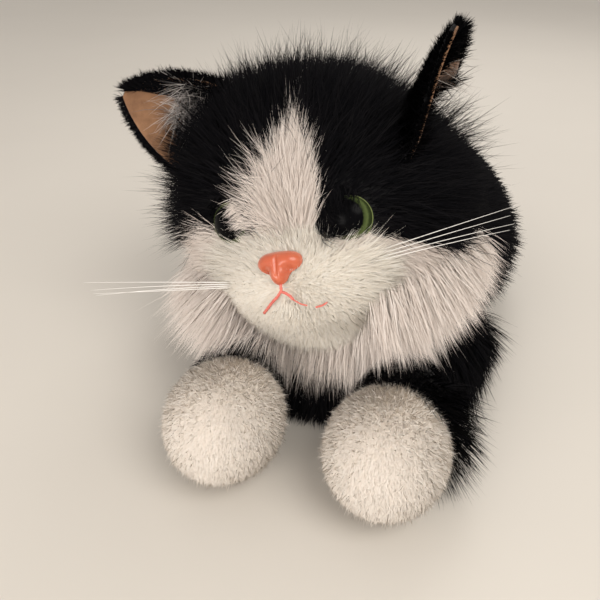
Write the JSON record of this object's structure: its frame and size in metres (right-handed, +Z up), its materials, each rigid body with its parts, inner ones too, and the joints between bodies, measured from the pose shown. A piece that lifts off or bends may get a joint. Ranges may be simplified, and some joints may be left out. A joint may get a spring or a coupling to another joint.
{
  "type": "plush cat",
  "caption": "Soft toy cat lying on its belly, black and white faux fur, with a head that turns and nods, swinging legs and tail, and bending ears.",
  "frame": {"origin": "on the resting surface under the front of the flat belly", "axes": "+Z up, the cat faces -Y, and its left side is +X"},
  "size_m": [0.1813, 0.374, 0.1658],
  "materials": {
    "black_long_pile": "long faux fur pile, near black",
    "black_short_pile": "short plush pile, near black",
    "white_long_pile": "long faux fur pile, white",
    "white_short_pile": "short plush pile, white",
    "cream_muzzle_pile": "short plush pile, warm white",
    "polyester_filling": "polyester fibre filling",
    "bag_cloth": "thin woven bag",
    "plastic_pellets": "small moulded pellets",
    "black_thread": "sewing thread",
    "coral_thread": "embroidery thread",
    "nose_plastic": "moulded, satin gloss",
    "washer_plastic": "moulded locking washer",
    "eye_plastic": "polished moulded eye",
    "iris_plastic": "green printed ring under a clear rim",
    "ear_velour": "brushed velour",
    "whisker_filament": "thin nylon filament"
  },
  "bodies": {
    "torso": {"torso_stuffing": "polyester_filling", "left_side_panel": "black_long_pile", "right_side_panel": "black_long_pile", "belly_panel": "black_long_pile", "neck_facing": "black_long_pile", "chest_panel": "black_long_pile", "chest_stuffing": "polyester_filling", "pellet_bag": "bag_cloth", "pellet_fill": "plastic_pellets", "belly_stitches": "black_thread"},
    "neck": {"neck_cover": "black_long_pile", "neck_stuffing": "polyester_filling"},
    "head": {"crown_left": "black_long_pile", "crown_right": "black_long_pile", "blaze": "white_long_pile", "cheek_left": "white_long_pile", "cheek_right": "white_long_pile", "head_back": "black_long_pile", "head_stuffing": "polyester_filling", "muzzle_cover": "cream_muzzle_pile", "chin_cover": "cream_muzzle_pile", "muzzle_stuffing": "polyester_filling", "nose": "nose_plastic", "nose_washer": "washer_plastic", "mouth_stitches": "coral_thread", "whiskers_left": "whisker_filament", "whiskers_right": "whisker_filament", "left_eye_dome": "eye_plastic", "left_eye_iris": "iris_plastic", "left_eye_stem": "eye_plastic", "left_eye_washer": "washer_plastic", "right_eye_dome": "eye_plastic", "right_eye_iris": "iris_plastic", "right_eye_stem": "eye_plastic", "right_eye_washer": "washer_plastic"},
    "left_ear": {"left_ear_back": "black_short_pile", "left_ear_lining": "ear_velour"},
    "right_ear": {"right_ear_back": "black_short_pile", "right_ear_lining": "ear_velour"},
    "left_foreleg": {"left_foreleg_sleeve": "black_short_pile", "left_foreleg_stuffing": "polyester_filling", "left_forepaw_cover": "white_short_pile", "left_forepaw_stuffing": "polyester_filling"},
    "right_foreleg": {"right_foreleg_sleeve": "black_short_pile", "right_foreleg_stuffing": "polyester_filling", "right_forepaw_cover": "white_short_pile", "right_forepaw_stuffing": "polyester_filling"},
    "left_hind_leg": {"left_thigh_cover": "black_long_pile", "left_thigh_stuffing": "polyester_filling", "left_hindpaw_cover": "white_short_pile", "left_hindpaw_stuffing": "polyester_filling"},
    "right_hind_leg": {"right_thigh_cover": "black_long_pile", "right_thigh_stuffing": "polyester_filling", "right_hindpaw_cover": "white_short_pile", "right_hindpaw_stuffing": "polyester_filling"},
    "tail": {"tail_cover": "black_long_pile", "tail_stuffing": "polyester_filling"}
  },
  "joints": [
    {"name": "neck_turn", "type": "hinge", "parent": "torso", "child": "neck", "pos_m": [-0.00225, -0.00619, 0.07218], "axis": [-0.2074, 0.0145, 0.9781], "range_deg": [-12, 12]},
    {"name": "head_nod", "type": "hinge", "parent": "neck", "child": "head", "pos_m": [-0.00225, -0.00619, 0.07218], "axis": [0.9758, -0.0682, 0.2079], "range_deg": [-12, 0]},
    {"name": "left_ear_bend", "type": "hinge", "parent": "head", "child": "left_ear", "pos_m": [0.02954, -0.04909, 0.1296], "axis": [0.2338, 0.8771, 0.4196], "range_deg": [-15, 8], "stiffness_Nm_per_rad": 0.02},
    {"name": "right_ear_bend", "type": "hinge", "parent": "head", "child": "right_ear", "pos_m": [-0.06328, -0.03633, 0.10909], "axis": [0.3777, 0.3172, 0.8699], "range_deg": [-15, 2], "stiffness_Nm_per_rad": 0.02},
    {"name": "left_foreleg_swing", "type": "hinge", "parent": "torso", "child": "left_foreleg", "pos_m": [0.043, -0.097, 0.021], "axis": [0, 0, 1], "range_deg": [-5, 20]},
    {"name": "right_foreleg_swing", "type": "hinge", "parent": "torso", "child": "right_foreleg", "pos_m": [-0.03, -0.097, 0.021], "axis": [0, 0, 1], "range_deg": [-20, 5]},
    {"name": "left_hind_leg_swing", "type": "hinge", "parent": "torso", "child": "left_hind_leg", "pos_m": [0.049, 0.112, 0.023], "axis": [0, 0, 1], "range_deg": [-18, 2]},
    {"name": "right_hind_leg_swing", "type": "hinge", "parent": "torso", "child": "right_hind_leg", "pos_m": [-0.041, 0.112, 0.023], "axis": [0, 0, 1], "range_deg": [-2, 18]},
    {"name": "tail_swing", "type": "hinge", "parent": "torso", "child": "tail", "pos_m": [0.004, 0.128, 0.024], "axis": [0, 0, 1], "range_deg": [-12, 12]}
  ]
}
